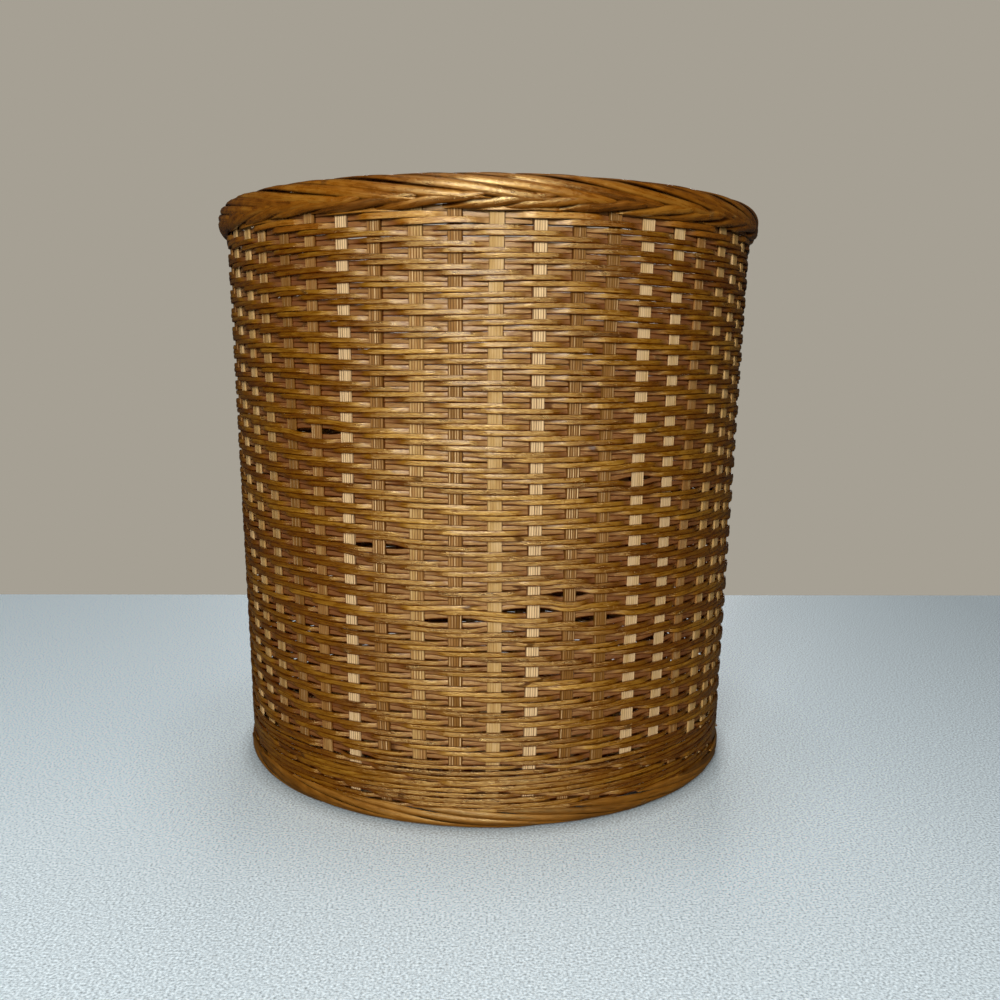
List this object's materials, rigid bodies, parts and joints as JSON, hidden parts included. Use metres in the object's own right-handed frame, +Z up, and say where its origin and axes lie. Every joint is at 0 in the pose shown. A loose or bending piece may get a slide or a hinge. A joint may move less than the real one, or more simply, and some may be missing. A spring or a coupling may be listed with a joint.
{
  "type": "wastebasket",
  "caption": "Round open wastebasket woven over two and under two from cane on flat upright stakes, slightly wider at the top, with a bound rim and a foot border.",
  "frame": {"origin": "centre of the foot ring on the floor plane", "axes": "+Z up out of the mouth, front towards -Y, +X to the right seen from the front"},
  "size_m": [0.2698, 0.2697, 0.2735],
  "materials": {
    "stake": "matt fibrous strip",
    "cane": "glossy peel",
    "peel": "glossy peel",
    "hoop": "matt cane"
  },
  "bodies": {
    "root": {"splint_01": "stake", "splint_02": "stake", "splint_03": "stake", "splint_04": "stake", "splint_05": "stake", "splint_06": "stake", "splint_07": "stake", "splint_08": "stake", "splint_09": "stake", "splint_10": "stake", "splint_11": "stake", "splint_12": "stake", "splint_13": "stake", "splint_14": "stake", "splint_15": "stake", "splint_16": "stake", "splint_17": "stake", "splint_18": "stake", "splint_19": "stake", "splint_20": "stake", "splint_21": "stake", "splint_22": "stake", "splint_23": "stake", "splint_24": "stake", "odd_stake": "stake", "weaver_1": "cane", "weaver_2": "cane", "weaver_3": "cane", "weaver_4": "cane", "weaver_5": "cane", "weaver_6": "cane", "upset_weaver": "cane", "base_weaver": "cane", "foot_border": "peel", "rim_binding": "peel", "rim_plait": "peel", "rim_outer_hoop": "hoop", "rim_inner_hoop": "hoop"}
  },
  "joints": []
}
